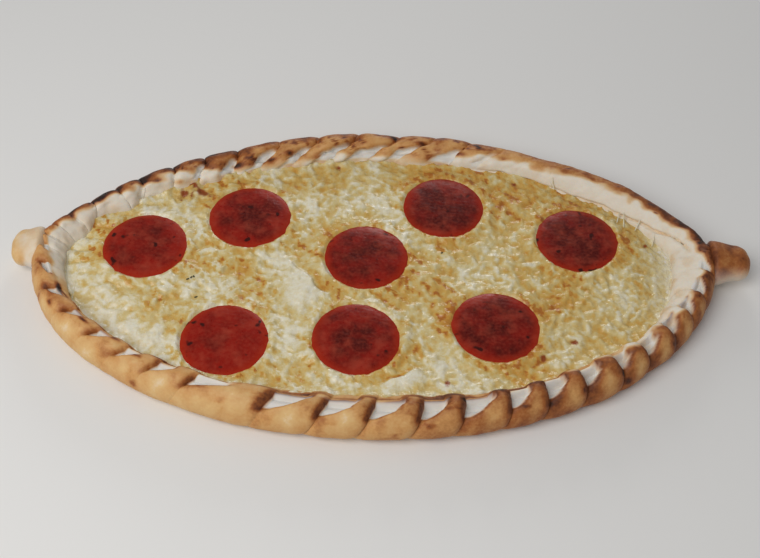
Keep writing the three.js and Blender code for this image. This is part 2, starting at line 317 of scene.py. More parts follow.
class CheeseSettings(bpy.types.PropertyGroup):
    """Sizes and colours of the cheese and the herb on it."""

    shreds: IntProperty(name="Shreds", description="Grated shreds melted together", default=5600, min=0)
    shred_width: length("Shred width", "Width of a grated shred", 2.2)
    shred_height: length("Shred height", "How far a melted shred stands out", 1.05)
    seed: IntProperty(name="Seed", description="Picks how the shreds lie", default=11)
    cream: colour("Cream", "Cheese that stayed pale", "#eae3cc")
    body: colour("Cheese", "Melted cheese", "#d8c48b")
    yellow: colour("Yellow", "Cheese where the fat shows", "#d0ac5e")
    gold: colour("Gold", "Browned cheese", "#cb9640")
    orange: colour("Orange", "Well browned cheese", "#b06a22")
    scorch: colour("Scorch", "Blisters that burnt", "#8f420f")
    herb: colour("Herb", "Flecks of dried herb", "#2c2a14")
    vein: colour("Herb veins", "Paler veins of the flecks", "#4d4a28")


class SausageSettings(bpy.types.PropertyGroup):
    """Sizes and colours of the sausage slices."""

    thickness: length("Thickness", "Thickness of a slice in its middle", 1.8)
    droop: length("Droop", "How far the edge of a slice sinks", 1.4)
    seed: IntProperty(name="Seed", description="Picks the unevenness of the slices", default=5)
    meat: colour("Meat", "Cured red meat", "#901809")
    dark: colour("Dark meat", "Leaner dark patches", "#540e06")
    edge: colour("Edge", "Fat that ran to the edge", "#ac2a0a")
    fat: colour("Fat", "Fine flecks of fat", "#b24a34")
    speck: colour("Specks", "Burnt spice", "#3c0e08")


class StageSettings(bpy.types.PropertyGroup):
    """Floor, light and camera."""

    floor: colour("Floor", "Plain pale floor", "#eceae6")
    tint: colour("Sky tint", "Colour of the even light", "#f4f6fa")
    sky: FloatProperty(name="Sky", description="Even light from all round", default=0.3, min=0.0)
    key: FloatProperty(name="Key light", description="Window near on the left", default=4.8, unit="POWER")
    back: FloatProperty(name="Back light", description="Window behind", default=3.0, unit="POWER")
    distance: length("Camera distance", "From the lens to the middle of the pide", 574.4)
    elevation: rotation("Camera elevation", "Above the floor", 49.77)
    turn: rotation("Camera turn", "Left of the pide's own front", 1.14)
    roll: rotation("Camera roll", "Anticlockwise about the view", 2.03)
    view_width: rotation("Angle of view", "Across the image", 37.0)


def smooth(low, high, value):
    """Eased step: 0 up to low, 1 from high on."""
    share = np.clip((value - low) / (high - low), 0.0, 1.0)
    return share * share * (3.0 - 2.0 * share)


def band(start, full, fading, end, value):
    """Eased window: 0 up to start, 1 from full to fading, 0 from end on."""
    return smooth(start, full, value) * (1 - smooth(fading, end, value))


def mix(start, end, share):
    """From start at 0 to end at 1."""
    return start + (end - start) * share


def bell(distance, width):
    """A bell of height 1 that has fallen to 37% at that distance."""
    return np.exp(-((distance / width) ** 2))


def patches(x, y, places):
    """Sum of bells of height 1 about places in plan."""
    return sum(bell(np.hypot(x - cx, y - cy), size) for cx, cy, size in places)


def xyz(x, y=0.0, z=0.0):
    """Coordinates as one array of points."""
    return np.stack(np.broadcast_arrays(x, y, z), axis=-1)


def around(degrees, stops):
    """The value at an angle round the boat, straight between its stops."""
    angles, values = zip(*stops)
    return np.interp(degrees, angles, values, period=360)


def grain(points, size, seed):
    """Smooth noise from -1 to 1: random values on a lattice of that spacing, eased between its corners."""
    cell = np.asarray(points) / size
    low = np.floor(cell)
    ease = cell - low
    ease = ease * ease * (3.0 - 2.0 * ease)
    total = 0.0
    for corner in np.ndindex(2, 2, 2):
        key = (low + corner) @ np.array([12.9898, 78.233, 37.719]) + 4.1 * seed
        value = np.modf(np.sin(key) * 43758.5453)[0]
        total = total + value * np.prod(np.where(corner, ease, 1.0 - ease), axis=-1)
    return total


def rough(points, size, seed):
    """Three layers of noise, each turned, half as large and half as strong as the one before."""
    total = 0.0
    for layer in range(3):
        cosine, sine = np.cos(0.7 + layer), np.sin(0.7 + layer)
        turn = np.array([[cosine, sine, 0.0], [-sine, cosine, 0.0], [0.0, 0.0, 1.0]])
        total = total + grain(np.asarray(points) @ turn, size / 2 ** layer, seed + layer) / 2 ** layer
    return total


def node_box(name):
    """Lowest and highest corner of a solid, in millimetres."""
    return (np.array(corner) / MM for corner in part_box(name))


def skin(name, rings, marks, material, replaced=(), slot=None):
    """Makes one piece of closed skins over rings of points, in millimetres.

    The last three axes of rings are the rings of a skin, the points of a ring and x, y, z. A ring runs
    anticlockwise about the way that the rings go, and the first and last ring are drawn together to a pole.
    Marks are values for each point, kept as attributes that the material reads.
    """
    count, sides = rings.shape[-3:-1]
    rings = rings.reshape(-1, count, sides, 3)

    def flat(values):
        poles = values[:, [0, -1]].mean(axis=2)
        body = values[:, 1:-1].reshape(len(values), -1, *values.shape[3:])
        return np.concatenate([poles[:, :1], body, poles[:, 1:]], axis=1).reshape(-1, *values.shape[3:])

    size = (count - 2) * sides + 2
    index = 1 + np.arange(size - 2).reshape(count - 2, sides)
    ahead = np.roll(index, -1, axis=1)
    quads = np.stack([index[:-1], ahead[:-1], ahead[1:], index[1:]], axis=-1).reshape(-1, 4)
    first = np.stack([np.zeros(sides, int), ahead[0], index[0]], axis=-1)
    last = np.stack([index[-1], ahead[-1], np.full(sides, size - 1)], axis=-1)
    starts = size * np.arange(len(rings))[:, None, None]
    faces = [(group + starts).reshape(-1, group.shape[-1]).tolist() for group in (first, quads, last)]

    mesh = bpy.data.meshes.new(name)
    mesh.from_pydata((flat(rings) * MM).tolist(), [], sum(faces, []))
    mesh.polygons.foreach_set("use_smooth", np.ones(len(mesh.polygons), bool))
    for mark, values in marks.items():
        values = flat(np.broadcast_to(values, rings.shape[:3]))
        mesh.attributes.new(mark, "FLOAT", "POINT").data.foreach_set("value", values.astype(np.float32))
    mesh.materials.append(material)
    mesh.update()
    piece = bpy.data.objects.new(name, mesh)
    bpy.context.scene.collection.objects.link(piece)
    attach(piece, BODY)
    if replaced:
        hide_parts(*replaced)


def normals(rings):
    """Outward direction at each point of closed rings, from the steps to the neighbours."""
    around_step = np.roll(rings, -1, axis=-2) - np.roll(rings, 1, axis=-2)
    along_step = np.gradient(rings, axis=-3)
    direction = np.cross(around_step, along_step)
    return direction / np.maximum(np.linalg.norm(direction, axis=-1, keepdims=True), 1e-9)


def outline(angle, sides=0.0, left=0.0, right=0.0):
    """Plan of the boat: each quarter is |x / reach|^2 + |y / spread|^roundness = 1 about the waist line."""
    cosine, sine = np.cos(angle), np.sin(angle)
    rightwards, back = cosine >= 0, sine >= 0
    reach = np.where(rightwards, RIGHT_REACH - right, LEFT_REACH - left)
    spread = np.where(back, BACK_SPREAD - sides, FRONT_SPREAD - sides)
    roundness = np.where(
        back,
        np.where(rightwards, ROUNDNESS["back_right"], ROUNDNESS["back_left"]),
        np.where(rightwards, ROUNDNESS["front_right"], ROUNDNESS["front_left"]),
    )
    y = WAIST_Y + np.where(back, 1, -1) * spread * np.abs(sine) ** (2 / roundness)
    return np.stack([reach * cosine, y], axis=-1)


def fold_angle(fold):
    """Angle round the boat of a place counted in folds, evenly between the places in the table."""
    turns, rest = np.divmod(fold, FOLDS)
    return 2 * np.pi * turns + np.radians(np.interp(rest, *zip(*FOLD_PLACES)))


def section_reach(section, half_width, height):
    """Outward and upward reach of the uncreased rim from its core: an egg, squashed on the table."""
    angle = np.radians(section)
    sine, cosine = np.sin(angle), np.cos(angle)
    out = half_width * np.where(section < 0, np.abs(cosine) ** FOOT_SQUASH, cosine)
    inner = BED_HEIGHT - CORE_HEIGHT + (height - BED_HEIGHT) * sine
    over = np.where(section <= 90, (height - CORE_HEIGHT) * sine, inner)
    return out, np.where(section < 0, CORE_HEIGHT * sine, over)


def rim_frame(angle, crust):
    """Outer edge of the rim in plan, the way inwards from it, and half the rim's width."""
    outer = outline(angle)
    inwards = outline(angle, **FLOOR_INSET) - outer
    inwards /= np.linalg.norm(inwards, axis=-1, keepdims=True)
    return outer, inwards, mix(crust.rim_width / MM, END_RIM_WIDTH, np.cos(angle) ** 8) / 2


def foot_spread(section, degrees):
    """How far the inner wall spreads or is undercut towards its foot, as a factor of its reach."""
    return 1 + around(degrees, INNER_FOOT) * smooth(112, 165, section)


def rim_shape(crust, fold, across, uneven):
    """The rim, ring by ring round its section, with its angles and what its baking follows.

    A ring follows the plan at one angle of the rim's section: -90 at the foot, 0 outwards, 90 on top and
    180 at the inner foot. Across a fold the section is cut back to a floured pocket, rises in a quarter
    circle to a full lobe, and falls in another to the next crease. The pocket is a mere crease on the outer
    side, opens towards the top, and a lip closes it off from the cheese.
    """
    section = np.concatenate([
        np.linspace(-90, -20, 8, endpoint=False),
        np.linspace(-20, 40, 14, endpoint=False),
        np.linspace(40, 150, 49, endpoint=False),
        np.linspace(150, 180, 13),
    ])[:, None]
    loose = around(np.degrees(fold_angle(fold)), UNEVEN_FOLDS)
    angle = fold_angle(fold + across + uneven(1.0) * loose)
    lean = around(np.degrees(angle), INNER_LEAN) * (1 + uneven(0.6)) * np.clip(section / 90 - 1, 0, 1)
    lean = lean + np.interp(section, *zip(*CREASE_LEAN))
    angle = angle + lean * 2 * np.pi / FOLDS
    degrees = np.degrees(angle) % 360

    # Creases, pockets and lobes, as a share of the section's reach
    depth = around(degrees, CREASE_DEPTH) * (1 + uneven(2.0) * loose + uneven(0.1))
    lip_at = around(degrees, LIP_SECTION)
    opening = around(degrees, POCKET_FROM) + uneven(7.0)
    wobble = uneven(3.0) + 2.5 * grain(xyz(1.3 * degrees, section / 4), 5.0, 61)
    width = around(degrees, POCKET_WIDTH) * (1 + wobble * loose)
    width = width * smooth(opening, opening + 60, section) ** 0.6
    rising = np.clip((across - width) / mix(0.5, 0.22, smooth(30, 75, section)), 0, 1)
    falling = np.clip((across - 0.7) / 0.3, 0, 1)
    lobe = np.sqrt(1 - (1 - rising) ** 2) * np.sqrt(1 - falling ** 2)
    share = np.interp(section, *zip(*CREASE_SHARE))
    share = mix(share * around(degrees, OUTER_CREASES), share, smooth(opening - 20, opening + 10, section))
    share = share * mix(1, 0.22 + uneven(0.14), smooth(lip_at - 20, lip_at - 3, section))
    share = share * (1 - smooth(lip_at + 8, lip_at + 24, section))
    proud = mix(0.06, 0.16, smooth(50, 80, section)) * band(-60, 0, 140, 165, section)
    kept = 1 + depth * (proud * lobe - share * (1 - lobe))
    rolls = mix(0.12, 0.17, smooth(60, 105, section)) * band(-20, 30, 150, 175, section)
    rolls = rolls * (np.sqrt(1 - (2 * across - 1) ** 2) - HALF_CIRCLE_MEAN)
    kept = kept + around(degrees, SOFT_ROLLS) * (1 + uneven(0.5)) * rolls

    rim_line = xyz(outline(angle)[..., 0])
    crack_at = around(degrees, CRACK_AT) + 5 * grain(rim_line, 6.0, 37)
    crack = around(degrees, CRACK) * bell(section - crack_at, CRACK_WIDTH)
    crack = crack * (0.75 + 0.5 * grain(rim_line, 14.0, 39))
    kept = kept - CRACK_DEPTH * crack

    # The rim in place, then the small unevenness of its skin
    outer, inwards, half_width = rim_frame(angle, crust)
    out, up = section_reach(section, half_width, crust.rim_height / MM)
    knuckles = around(degrees, SOFT_ROLLS) * uneven(0.35) * smooth(105, 140, section)
    out = out * (foot_spread(section, degrees) + knuckles)
    swell = 1 + uneven(0.05) + uneven(0.4) * loose
    swell = swell + 0.06 * grain(xyz(outer[..., 0], outer[..., 1]), 32.0, 3)
    place = outer + inwards * (half_width - out * kept * swell)[..., None]
    rim = xyz(place[..., 0], place[..., 1], CORE_HEIGHT + up * kept * swell)
    blotch = rough(rim, 8.0, 41)
    blister = around(degrees, BLISTERS) * band(50, 75, 120, 145, section)
    crinkled = 1 + blister + around(degrees, CRINKLES) * smooth(100, 125, section)
    ruffle = 0.7 * rough(rim, 9.0, 21) + 0.3 * grain(rim, 2.2, 27)
    ruffle = ruffle * smooth(-80, -20, section) * crinkled * crust.wrinkle / MM
    rim = rim + normals(rim) * ruffle[..., None]
    rim[..., 2] = np.maximum(rim[..., 2], 0.0)
    return rim, angle, {
        "section": section, "degrees": degrees, "depth": depth, "lip_at": lip_at, "opening": opening,
        "width": width, "lobe": lobe, "share": share, "crack": crack, "blotch": blotch, "blister": blister,
    }


def rim_baking(
    rim, across, uneven, section, degrees, depth, lip_at, opening, width, lobe, share, crack, blotch,
    blister,
):
    """How far each place of the rim is baked and floured, from 0 to 1.

    The skin is toasted on its outer side and top, ends raggedly on the inner face, and blisters at the
    back. Pockets stay pale and floured, with a brown lip and brink, and a steep side that is browned and
    darkened with painted shade. Spots, stains and freckles lie on top, the crack is painted a little
    darker as shade in its groove, and the middles of the front lobes are painted lighter as a highlight.
    """
    front = band(*FRONT_RIM, degrees)
    brown_lip = 1 - smooth(*BROWN_LIP_END, degrees)
    creased = smooth(0.06, 0.2, depth) * smooth(0.02, 0.12, width)
    in_pocket = (1 - smooth(width - 0.02, width + 0.08, across)) * creased
    in_pocket = in_pocket * (1 - smooth(lip_at - 2, lip_at + 8, section))

    toast = around(degrees, TOAST) + uneven(0.05) + 0.1 * blotch
    bake = toast * mix(0.85, 1.0, smooth(-70, 25, section))
    bake = bake + 0.08 * (1 - lobe) * share * smooth(0.03, 0.15, depth)
    bake = bake + around(degrees, CREST_CHAR) * bell(section - 70, 22) * (1 + 0.5 * blotch)
    bubbles = smooth(0.15, 0.5, rough(rim, 2.6, 55)) * smooth(-0.3, 0.3, grain(rim, 7.0, 57))
    bake = bake + blister * (0.34 * bubbles - 0.06)
    bake = np.minimum(bake, mix(1.0, 0.8, np.clip(2 * blister - 1, 0, 1)))
    ragged = (1 + 1.8 * blister) * (7 * grain(rim, 12.0, 43) + 9 * grain(rim, 4.0, 45))
    ends = around(degrees, TOAST_END) + ragged
    inner = smooth(ends - 12, ends + 12, section)
    bake = bake * (1 - 0.94 * inner)

    dusty = smooth(*DUSTY_POCKETS, degrees) * smooth(-0.4, 0.5, rough(rim, 5.0, 67))
    bake = bake * (1 - 0.97 * in_pocket) + 0.26 * dusty * in_pocket
    face = band(opening - 5, opening + 15, lip_at - 8, lip_at + 8, section)
    brink = bell(across - width - 0.08, 0.06) * face * creased
    wall = smooth(0.82, 0.95, across) * band(30, 60, lip_at - 10, lip_at + 8, section)
    lip = bell(section - lip_at + 6, 5.0) * (1 - smooth(width, width + 0.2, across))
    lip = lip * smooth(-0.5, 0.3, uneven(1.0))
    # The steep side of each lobe is browned, and darkened further as painted shade.
    bake = bake + around(degrees, WALL_TOAST_AND_SHADE) * wall * smooth(0.06, 0.2, depth)
    bake = bake + front * (0.16 * brink + 0.85 * lip * creased)
    inside = smooth(lip_at, lip_at + 12, section)
    bake = bake + 0.2 * around(degrees, BLISTERS) ** 2 * inside * (0.5 + blotch)
    past_lip = bake + 0.32 * smooth(lip_at - 4, lip_at + 4, section) * brown_lip
    bake = mix(bake, np.minimum(past_lip, 0.82), front)

    spots = sum(
        strength * bell(np.hypot((degrees - turn) / wide, (section - up) / tall) * (1 + 0.35 * blotch), 1.0)
        for turn, up, wide, tall, strength in SPOTS
    )
    # Painted highlight: the middle of each front lobe is made lighter, more so towards the front right.
    middle = bell(section - 38, 40) * bell(across - 0.5, 0.22)
    bake = bake + spots - mix(0.18, 0.26, smooth(*STRONGER_LOBE_HIGHLIGHTS, degrees)) * front * middle
    stain = around(degrees, STAINS) * smooth(-0.1, 0.5, rough(rim, 7.0, 59)) * smooth(118, 146, section)
    # The crack is browned a little, as painted shade in its groove.
    bake = bake + 0.22 * stain * (1 - in_pocket) + 0.12 * crack
    freckle = smooth(0.45, 0.8, grain(rim, 3.2, 47)) * smooth(0.1, 0.6, blotch + 0.3)
    bake = bake + 0.2 * freckle * (1 - inner) * (1 - in_pocket) * smooth(0.35, 0.6, toast)

    flour = np.maximum((0.95 - 0.35 * dusty) * in_pocket, 0.3 * inner)
    flour = flour * (1 - front * smooth(lip_at - 10, lip_at - 2, section) * brown_lip)
    # Spots and the crack lose their flour; in the crack this darkening is painted shade.
    return bake, flour * (1 - np.clip(1.5 * spots + crack, 0, 1))


def crust_surface(crust):
    """The boat's skin, ring by ring from the middle of its underside, round the rim and in over its floor.

    The underside is the rim's foot drawn in to a point. The floor goes from the rim's inner foot to its own
    edge, a little uneven, and from there to the middle.
    """
    chance = np.random.default_rng(crust.seed)
    columns = np.arange(FOLDS * COLUMNS_PER_FOLD)
    fold = columns // COLUMNS_PER_FOLD
    step = columns % COLUMNS_PER_FOLD / COLUMNS_PER_FOLD
    across = step - COLUMN_PULL * np.sin(2 * np.pi * step)

    def uneven(spread):
        values = chance.uniform(-spread, spread, FOLDS)
        return mix(values[fold], values[(fold + 1) % FOLDS], across)

    rim, angle, form = rim_shape(crust, fold, across, uneven)
    bake, flour = rim_baking(rim, across, uneven, **form)
    underside = rim[0] * np.array([0.0, 0.3, 0.6, 0.85, 0.95])[:, None, None]
    edge = outline(angle[-1], **FLOOR_INSET)
    edge = xyz(edge[:, 0], edge[:, 1], BED_HEIGHT)
    bare = mix(rim[-1], edge, np.array([0.25, 0.5, 0.75, 1.0])[:, None, None])
    bare[..., 2] += 0.5 * rough(bare, 7.0, 33)
    middle = np.array([0.0, WAIST_Y, BED_HEIGHT])
    floor = mix(edge, middle, np.array([0.1, 0.4, 0.7, 1.0])[:, None, None])

    def whole(values, under, over):
        below = np.full((len(underside), len(columns)), under)
        above = np.full((len(bare) + len(floor), len(columns)), over)
        return np.clip(np.concatenate([below, values, above]), 0, 1)

    marks = {"bake": whole(bake, 0.5, 0.04), "flour": whole(flour, 0.0, 0.5)}
    return np.concatenate([underside, rim, bare, floor]), marks


def knob_surface(side, neck, thick, tip, forward, toast):
    """A pinched end of the dough: rings about its axis, from a rounded root to a blunt tip."""
    reach = LENGTH / 2 - neck
    blunt = tip * KNOB_BLUNTNESS
    root = np.radians(np.linspace(-90, 0, KNOB_RINGS["root"], endpoint=False))
    body = np.linspace(0, 1, KNOB_RINGS["body"])[1:-1]
    end = np.radians(np.linspace(0, 90, KNOB_RINGS["end"]))
    radius = np.concatenate([
        thick / 2 * np.cos(root),
        mix(thick / 2, tip / 2, smooth(0, 1, body)),
        tip / 2 * np.abs(np.cos(end)) ** 0.8,
    ])[:, None]
    along = np.concatenate([
        KNOB_ROOT * np.sin(root),
        mix(0, reach - blunt, body),
        reach - blunt * (1 - np.sin(end)),
    ])[:, None]
    turn = np.linspace(0, 2 * np.pi, KNOB_SIDES, endpoint=False)[None]
    rings = xyz(side * along, side * KNOB_SPREAD * radius * np.cos(turn), radius * np.sin(turn))
    rings = rings + np.array([side * neck, WAIST_Y - forward, thick / 2 + KNOB_CLEARANCE])
    rings = rings + normals(rings) * (0.55 * rough(rings, 11.0, 51))[..., None]
    rings[..., 2] = np.maximum(rings[..., 2], KNOB_LOWEST)

    top = smooth(-0.6, 0.7, np.sin(turn))
    shaded = 1 - smooth(-0.3, 0.8, np.sin(turn))
    blotch = rough(rings, 6.0, 53)
    right, left = max(0.0, side), max(0.0, -side)
    bake = toast * mix(0.6 - 0.2 * right, 1.0 + 0.14 * right, top) + 0.1 * blotch
    bake = bake + 0.3 * bell(along + 4.0, 3.0) * right
    flour = 0.65 * (1 - smooth(3 + 6 * right, 14 + 8 * right, along + 4 * blotch))
    return rings, {"bake": np.clip(bake, 0, 1), "flour": flour * np.maximum(shaded, 0.5 * left)}


def from_slices(x, y):
    """Distance in plan from the nearest slice's middle."""
    centres = np.array([sum(node_box(name))[:2] / 2 for name in SLICES])
    return np.sqrt((x[..., None] - centres[:, 0]) ** 2 + (y[..., None] - centres[:, 1]) ** 2).min(axis=-1)


def cheese_level(x, y):
    """The cheese's main form, as in the solid: rolling lumps, two folds, a flat seat under each slice."""
    lumps = np.sin(x / 9.1 + 0.6 * np.sin(y / 13)) * np.cos(y / 7.3 + 0.8 * np.sin(x / 17))
    rolls = np.sin(x / 23 + y / 31)
    level = CHEESE_LEVEL + LUMP_HEIGHT * (0.6 * lumps + 0.4 * rolls)
    for fold in FOLDED_CHEESE:
        far = ((x - fold["x"]) / fold["along"]) ** 2 + ((y - fold["y"]) / fold["across"]) ** 2
        level = level + 0.5 * fold["height"] * np.exp(-far)
    seat = 1 - smooth(*SEAT, from_slices(x, y))
    return mix(level, CHEESE_LEVEL, seat)


def soften(field, times):
    """Blurs a map with a small bell along both of its axes."""
    for _ in range(times):
        for axis in (0, 1):
            field = sum(w * np.roll(field, k, axis) for k, w in ((-1, 0.25), (0, 0.5), (1, 0.25)))
    return field


def lay_shreds(chance, count, width, lift):
    """Maps of the height and the tint of grated shreds that lie criss-cross and have melted down.

    Each shred is an arc with a round back. Where shreds cross, the highest one is seen: a cell keeps the
    largest of height steps plus a tint below 1.
    """
    centre = FIELD_LOW + chance.uniform(0, 1, (count, 2)) * np.array(FIELD_SIZE) * FIELD_STEP
    heading = chance.uniform(0, np.pi, count)
    reach = chance.uniform(2.0, 8.0, count)
    half = width / 2 * chance.uniform(0.6, 1.4, count)
    tall = lift * chance.uniform(0.3, 1.0, count)
    bend = chance.normal(0, 0.8, count)
    tint = chance.uniform(0.01, 0.99, count)
    forwards = np.stack([np.cos(heading), np.sin(heading)], axis=-1)[:, None, None]
    sideways = np.stack([-np.sin(heading), np.cos(heading)], axis=-1)[:, None, None]
    along = np.linspace(-1, 1, SHRED_GRID[0])[None, :, None, None]
    across = np.linspace(-1, 1, SHRED_GRID[1])[None, None, :, None]

    def each(values):
        return values[:, None, None, None]

    place = centre[:, None, None] + forwards * along * each(reach)
    place = place + sideways * (across * each(half) + each(bend) * (along ** 2 - 0.33))
    height = each(tall) * np.sqrt(1 - across ** 2) * np.sqrt(1 - along ** 2)
    spot = np.rint((place - FIELD_LOW) / FIELD_STEP).astype(int)
    spot = np.clip(spot, 0, np.array(FIELD_SIZE) - 1)
    seen = np.full(FIELD_SIZE, 0.5)
    layered = np.floor(height * HEIGHT_STEPS) + each(tint)
    np.maximum.at(seen, (spot[..., 0], spot[..., 1]), layered[..., 0])
    tint, steps = np.modf(seen)
    return soften(steps / HEIGHT_STEPS, 2), soften(tint, 1)


def sample(field, x, y):
    """The value of a map at places in plan, straight between its cells."""
    u = np.clip((x - FIELD_LOW[0]) / FIELD_STEP, 0, FIELD_SIZE[0] - 1.001)
    v = np.clip((y - FIELD_LOW[1]) / FIELD_STEP, 0, FIELD_SIZE[1] - 1.001)
    i, j = u.astype(int), v.astype(int)
    near = mix(field[i, j], field[i + 1, j], u - i)
    far = mix(field[i, j + 1], field[i + 1, j + 1], u - i)
    return mix(near, far, v - j)


def cheese_boundary(crust):
    """Where the cheese meets the rim, round the boat: x, y and height.

    The inner wall of the rim is met at the height in the table. Both ends are drawn in, so that dough stays
    bare.
    """
    angle = np.linspace(0, 2 * np.pi, BOUNDARY_STEPS + 1)
    degrees = np.degrees(angle) % 360
    outer, inwards, half_width = rim_frame(angle, crust)
    along = xyz(outer[:, 0], outer[:, 1])
    ragged = 0.7 + 0.9 * around(degrees, BLISTERS)
    height = around(degrees, CHEESE_RIM) + ragged * rough(along, 9.0, 77)
    rim_height = crust.rim_height / MM
    sine = np.clip((height - BED_HEIGHT) / (rim_height - BED_HEIGHT), 0, 1)
    section = 180 - np.degrees(np.arcsin(sine))
    out, _ = section_reach(section, half_width, rim_height)
    out = out * foot_spread(section, degrees)
    inset = half_width - out - around(degrees, CHEESE_LAP) + ragged * rough(along, 7.0, 73)
    place = outer + inwards * inset[:, None]
    for end, furthest in (("left", np.min), ("right", np.max)):
        start, tip = CHEESE_ENDS[end]
        last = furthest(place[:, 0])
        beyond = np.clip((place[:, 0] - start) / (last - start), 0, 1)
        place[:, 0] += (tip - last) * beyond
    return xyz(place[:, 0], place[:, 1], height)


def flap_shape(x, y, flap):
    """A film of cheese: its lift, its area, and the shade past its edge.

    It rises softly to a wavy free edge and drops off there, and fades out at both ends in a bell.
    """
    heading = np.radians(flap["heading"])
    cosine, sine = np.cos(heading), np.sin(heading)
    along = ((x - flap["x"]) * cosine + (y - flap["y"]) * sine) / flap["along"]
    across = ((y - flap["y"]) * cosine - (x - flap["x"]) * sine) / flap["across"]
    across = across + 0.1 * np.sin(5 * along + 1)
    ends = bell(along, 0.85)
    ripple = np.sin(7 * along + 2.5 * across)
    lift = flap["lift"] * band(-1.0, 0.8, 0.95, 1.08, across) * ends * (1 + 0.18 * ripple)
    area = band(-1.0, -0.2, 0.95, 1.1, across) * ends
    return lift, area, bell(across - 1.25, 0.2) * ends


def cheese_top(x, y, shreds):
    """Height of the cheese, and how far a place stands out from its main form.

    Rounded lumps with sharp valleys, which are noise folded over at its middle, lie under the melted
    shreds, and are coarser at the left end, where the cheese has curdled. Films are smoother, and a
    swelling runs round each slice.
    """
    low, high = node_box(SLICES[0])
    radius = (high[0] - low[0]) / 2
    far = from_slices(x, y)
    open_cheese = smooth(radius - 2, radius + 1, far)
    flat = xyz(x, y)
    curdled = smooth(*CURDLED_LEFT, -x)
    lumps = np.abs(rough(flat, 9.0, 63)) + 0.5 * np.abs(rough(flat, 4.0, 65)) - 0.5
    lumps = mix(lumps, 2.2 * np.abs(grain(flat, 7.5, 69)) - 0.7, 0.75 * curdled)
    fine = 0.75 * lumps + (1 - 0.4 * curdled) * sample(shreds, x, y) - 0.2
    fine = fine * mix(1.0, 1.2, smooth(-20, 60, -x))
    lift, area = 0.0, 0.0
    for flap in FLAPS:
        rise, cover, _ = flap_shape(x, y, flap)
        lift, area = lift + rise, area + cover
    fine = fine * (1 - 0.6 * area) + lift
    swelling = SWELLING["height"] * bell(far - radius - SWELLING["out"], SWELLING["width"])
    return cheese_level(x, y) + open_cheese * (fine + swelling), open_cheese * fine


def cheese_browning(x, y, fine, tints, right_end):
    """How brown and how scorched the cheese is, from 0 to 1.

    It browns in the golden places, round the slices and by the shreds' own tints, more to the back and the
    right. It is darker in the hollows and paler on raised lumps: partly browning, partly painted shade and
    highlight of the relief. Milky places, the films and the thin right end stay pale, and a painted
    shadow lies past each film's free edge.
    """
    flat = xyz(x, y)
    halo = bell(from_slices(x, y) - HALO["radius"], HALO["width"]) * smooth(-0.6, 0.4, grain(flat, 9.0, 81))
    golden = np.clip(patches(x, y, GOLDEN), 0, 1) + 0.8 * halo
    pale = np.clip(patches(x, y, PALE) + 0.8 * right_end, 0, 1)
    freckles = smooth(0.3, 0.6, rough(flat, 3.4, 87))
    brown = 0.36 + 0.14 * rough(flat, 22.0, 83) + 0.19 * golden - 0.14 * pale
    brown = brown + (0.1 + 0.4 * golden) * freckles
    # Darker in the hollows and paler where the cheese stands out: partly its own browning, partly painted
    # shade and highlight of the relief.
    brown = brown + 0.42 * (0.5 - sample(tints, x, y)) - 0.26 * fine
    brown = brown + 0.1 * smooth(20, 65, y) - 0.07 * smooth(30, 80, -y)
    brown = brown + 0.13 * smooth(0, 110, x) - 0.1 * smooth(20, 120, -x)
    brown = mix(brown, 0.0, 0.75 * right_end)
    brown = np.maximum(brown, 0.07 + 0.3 * brown)
    for flap in FLAPS:
        _, area, shade = flap_shape(x, y, flap)
        # The films stay pale, and a painted shadow darkens the cheese past each free edge.
        brown = mix(brown, 0.04, 0.8 * area) + 0.55 * shade
    ragged = 1 + 0.5 * rough(flat, 3.0, 91)
    scorch = sum(bell(np.hypot(x - cx, y - cy) * ragged, size) for cx, cy, size in SCORCHES)
    return np.clip(brown, 0, 1), smooth(0.25, 0.75, scorch)


def cheese_surface(shreds, tints, boundary):
    """The cheese as rings across the boat, from left to right: over the top, then back along the bed."""
    half_way = BOUNDARY_STEPS // 2
    back_line, front_line = boundary[half_way::-1], boundary[half_way:]
    left, right = boundary[:, 0].min(), boundary[:, 0].max()
    run = np.linspace(0, 1, CHEESE_GRID[0])[:, None]
    share = mix(2 * run - 1, -np.cos(np.pi * run), 0.3)
    x = mix(left, right, (share + 1) / 2)
    front, front_top = (np.interp(x, front_line[:, 0], front_line[:, axis]) for axis in (1, 2))
    back, back_top = (np.interp(x, back_line[:, 0], back_line[:, axis]) for axis in (1, 2))
    row = np.linspace(1, 0, CHEESE_GRID[1])[None]
    y = mix(front, back, row)
    x = x + 0 * y
    top, fine = cheese_top(x, y, shreds)
    rimward = np.abs(2 * row - 1) ** 14
    tipward = smooth(0.84, 1.0, np.abs(share))
    tip = np.where(share < 0, CHEESE_TIPS["left"], CHEESE_TIPS["right"])
    z = mix(top, tip + 0.9 * fine, tipward)
    z = mix(z, mix(front_top, back_top, row) + 0.8 * fine, rimward)
    bed_row = np.array([0.0, 0.3, 0.7, 1.0])[None]
    under = mix(CHEESE_UNDER, CHEESE_TIPS["right"] - 1.0, tipward)
    bed = xyz(x[:, :1], mix(front, back, bed_row), under)
    brown, scorch = cheese_browning(x, y, fine, tints, tipward * (share > 0))

    def with_bed(values):
        return np.concatenate([values, np.zeros(bed.shape[:2])], axis=1)

    rings = np.concatenate([xyz(x, y, z), bed], axis=1)
    return rings, {"brown": with_bed(brown), "scorch": with_bed(scorch)}


